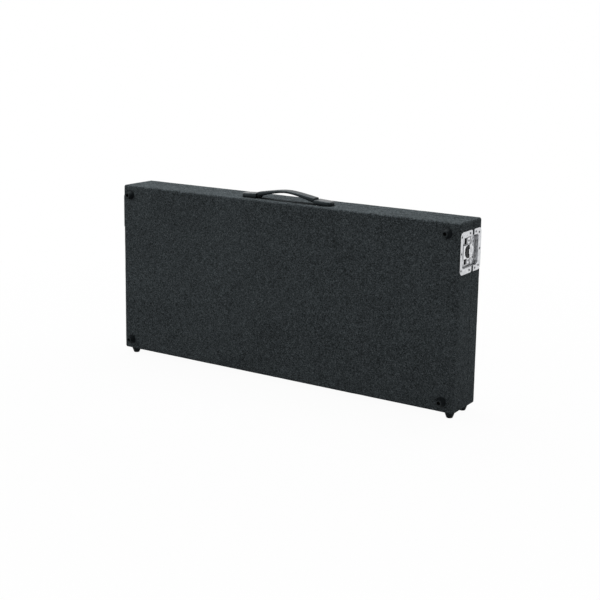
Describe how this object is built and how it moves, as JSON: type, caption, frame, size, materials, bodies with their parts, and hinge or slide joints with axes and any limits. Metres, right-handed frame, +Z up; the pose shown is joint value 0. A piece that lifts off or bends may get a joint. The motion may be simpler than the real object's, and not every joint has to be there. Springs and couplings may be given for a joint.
{
  "type": "pedalboard",
  "caption": "Carpet-covered pedalboard in a case with a lift-off lid, recessed butterfly latches, a strap handle and rubber feet, standing on its long edge.",
  "frame": {"origin": "on the floor under the middle of the whole closed case, feet and handle included", "axes": "+X along the case, +Y through its depth from the tray feet towards the lid, +Z up towards the handle"},
  "size_m": [1.0442, 0.1344, 0.5128],
  "materials": {
    "plywood": "raw birch plywood",
    "case_carpet": "dark grey needle-punched carpet",
    "deck_carpet": "black looped carpet that takes hook fastener",
    "strip_plastic": "black extruded strip",
    "foam": "grey open-cell foam",
    "foot_rubber": "moulded black rubber",
    "black_screw": "black oxide",
    "plain_screw": "plain zinc",
    "latch_zinc": "bright zinc-plated sheet",
    "latch_dark": "black zinc plate",
    "latch_rivet": "dull steel",
    "strap_rubber": "smooth moulded strap",
    "cap_plastic": "glossy black",
    "spring_steel": "spring steel"
  },
  "bodies": {
    "base": {"base_top_rail": "plywood", "base_bottom_rail": "plywood", "base_end_board_right": "plywood", "base_end_board_left": "plywood", "base_floor_panel": "plywood", "base_carpet": "case_carpet", "deck_cleat_top": "plywood", "deck_cleat_bottom": "plywood", "deck_battens": "plywood", "deck_panel": "plywood", "deck_carpet": "deck_carpet", "deck_screws": "plain_screw", "locating_strip_top": "strip_plastic", "locating_strip_bottom": "strip_plastic", "locating_strip_right": "strip_plastic", "locating_strip_left": "strip_plastic", "face_foot_bottom_left": "foot_rubber", "face_foot_bottom_right": "foot_rubber", "face_foot_top_left": "foot_rubber", "face_foot_top_right": "foot_rubber", "base_edge_foot_left": "foot_rubber", "base_edge_foot_right": "foot_rubber", "base_foot_screws": "black_screw", "base_dish_right": "latch_zinc", "base_dish_left": "latch_zinc", "latch_plate_right": "latch_zinc", "latch_plate_left": "latch_zinc", "base_dish_screws": "latch_rivet", "plate_rivets": "latch_rivet", "handle_strap": "strap_rubber", "handle_core": "spring_steel", "handle_cap_left": "cap_plastic", "handle_cap_right": "cap_plastic", "handle_bolts": "black_screw", "handle_tee_nuts": "plain_screw"},
    "lid": {"lid_top_rail": "plywood", "lid_bottom_rail": "plywood", "lid_end_board_right": "plywood", "lid_end_board_left": "plywood", "lid_panel": "plywood", "lid_carpet": "case_carpet", "lid_foam": "foam", "lid_edge_foot_left": "foot_rubber", "lid_edge_foot_right": "foot_rubber", "lid_foot_screws": "black_screw", "lid_dish_right": "latch_zinc", "lid_dish_left": "latch_zinc", "keeper_right": "latch_zinc", "keeper_left": "latch_zinc", "lid_dish_screws": "latch_rivet", "keeper_rivets": "latch_rivet"},
    "rotor_right": {"latch_rotor_right": "latch_dark", "wing_pin_right": "latch_rivet"},
    "wing_right": {"latch_wing_right": "latch_zinc"},
    "hook_right": {"latch_hook_right": "latch_zinc"},
    "rotor_left": {"latch_rotor_left": "latch_dark", "wing_pin_left": "latch_rivet"},
    "wing_left": {"latch_wing_left": "latch_zinc"},
    "hook_left": {"latch_hook_left": "latch_zinc"}
  },
  "joints": [
    {"name": "lid_lift", "type": "slide", "parent": "base", "child": "lid", "axis": [0, 1, 0], "range_m": [0, 0.25]},
    {"name": "turn_right", "type": "hinge", "parent": "base", "child": "rotor_right", "pos_m": [0.52, -0.00075, 0.4095], "axis": [1, 0, 0], "range_deg": [0, 180]},
    {"name": "fold_right", "type": "hinge", "parent": "rotor_right", "child": "wing_right", "pos_m": [0.52015, -0.00075, 0.4095], "axis": [0, 0, -1], "range_deg": [0, 90]},
    {"name": "pull_right", "type": "slide", "parent": "base", "child": "hook_right", "axis": [0, 1, 0], "range_m": [0, 0.006]},
    {"name": "turn_left", "type": "hinge", "parent": "base", "child": "rotor_left", "pos_m": [-0.52, -0.00075, 0.4095], "axis": [1, 0, 0], "range_deg": [0, 180]},
    {"name": "fold_left", "type": "hinge", "parent": "rotor_left", "child": "wing_left", "pos_m": [-0.52015, -0.00075, 0.4095], "axis": [0, 0, 1], "range_deg": [0, 90]},
    {"name": "pull_left", "type": "slide", "parent": "base", "child": "hook_left", "axis": [0, 1, 0], "range_m": [0, 0.006]}
  ],
  "couplings": [
    {"joint": "pull_right", "follows": "turn_right", "m_per_rad": 0.0019098},
    {"joint": "pull_left", "follows": "turn_left", "m_per_rad": 0.0019098}
  ]
}
